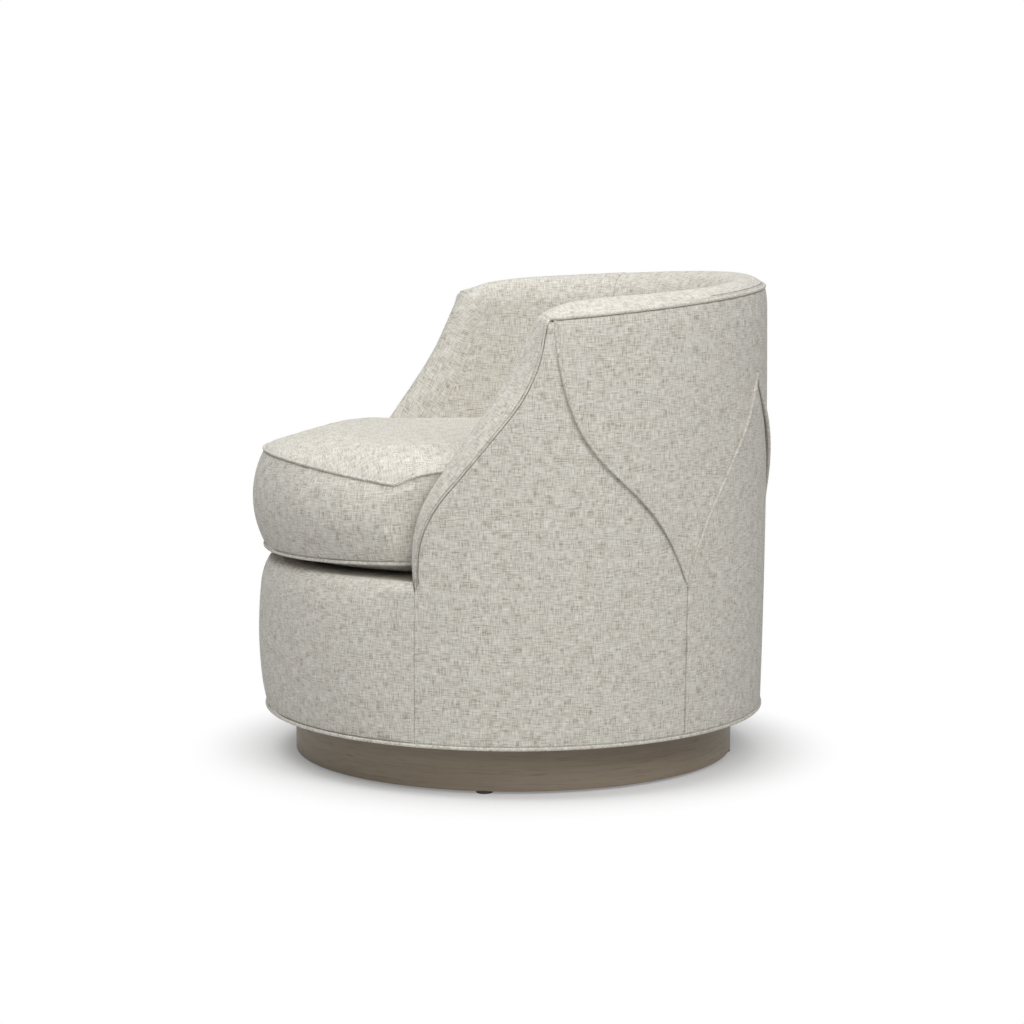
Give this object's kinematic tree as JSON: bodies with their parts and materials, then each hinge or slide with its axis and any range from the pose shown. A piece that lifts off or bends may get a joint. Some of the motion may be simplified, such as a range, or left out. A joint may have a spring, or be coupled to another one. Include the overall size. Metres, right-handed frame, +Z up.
{
  "type": "upholstered barrel swivel chair",
  "caption": "Round upholstered swivel chair: barrel back with overlapping petal panels, piped rim and hem, loose crowned seat cushion, round wooden plinth on a ball swivel.",
  "frame": {"origin": "on the floor, under the swivel axis, which is the centre of the plinth", "axes": "+Z up along the swivel axis, -Y towards the front of the seat, +X towards the sitter's left arm"},
  "size_m": [0.7972, 0.8078, 0.7377],
  "materials": {
    "upholstery": "linen-look melange weave",
    "plinth_wood": "grey-brown satin stain",
    "frame_wood": "raw plywood",
    "steel": "zinc plated",
    "ball_steel": "polished",
    "glide_plastic": "black",
    "dust_cloth": "black non-woven",
    "webbing_rubber": "woven rubber",
    "deck_cloth": "plain cotton deck cloth",
    "foam": "open-cell foam"
  },
  "bodies": {
    "base": {"plinth_ring": "plinth_wood", "plinth_board": "frame_wood", "plinth_blocks": "frame_wood", "floor_glides": "glide_plastic", "swivel_lower_plate": "steel", "swivel_pin": "steel", "lower_bolts": "steel"},
    "bearing": {"bearing_balls": "ball_steel", "bearing_cage": "steel"},
    "seat": {"swivel_upper_plate": "steel", "upper_bolts": "steel", "base_board": "frame_wood", "dust_cover": "dust_cloth", "front_rail": "frame_wood", "rear_rail": "frame_wood", "top_rail": "frame_wood", "back_posts": "frame_wood", "arm_board_left": "frame_wood", "arm_board_right": "frame_wood", "seat_webbing": "webbing_rubber", "webbing_clips": "steel", "seat_deck": "deck_cloth", "front_apron": "upholstery", "inside_back": "upholstery", "inside_arm_left": "upholstery", "inside_arm_right": "upholstery", "side_panel_left": "upholstery", "side_panel_right": "upholstery", "back_panel_left": "upholstery", "back_panel_right": "upholstery", "quarter_panel_left": "upholstery", "quarter_panel_right": "upholstery", "centre_panel": "upholstery", "hem_piping": "upholstery", "rim_piping": "upholstery"},
    "cushion": {"cushion_core": "foam", "cushion_cover": "upholstery", "cushion_piping": "upholstery"}
  },
  "joints": [
    {"name": "swivel", "type": "hinge", "parent": "base", "child": "seat", "pos_m": [0, 0, 0.063], "axis": [0, 0, 1], "continuous": true},
    {"name": "bearing_roll", "type": "hinge", "parent": "base", "child": "bearing", "pos_m": [0, 0, 0.063], "axis": [0, 0, 1], "continuous": true},
    {"name": "cushion_lift", "type": "slide", "parent": "seat", "child": "cushion", "axis": [0, 0, 1], "range_m": [0, 0.45]}
  ],
  "couplings": [
    {"joint": "bearing_roll", "follows": "swivel", "ratio": 0.5}
  ]
}
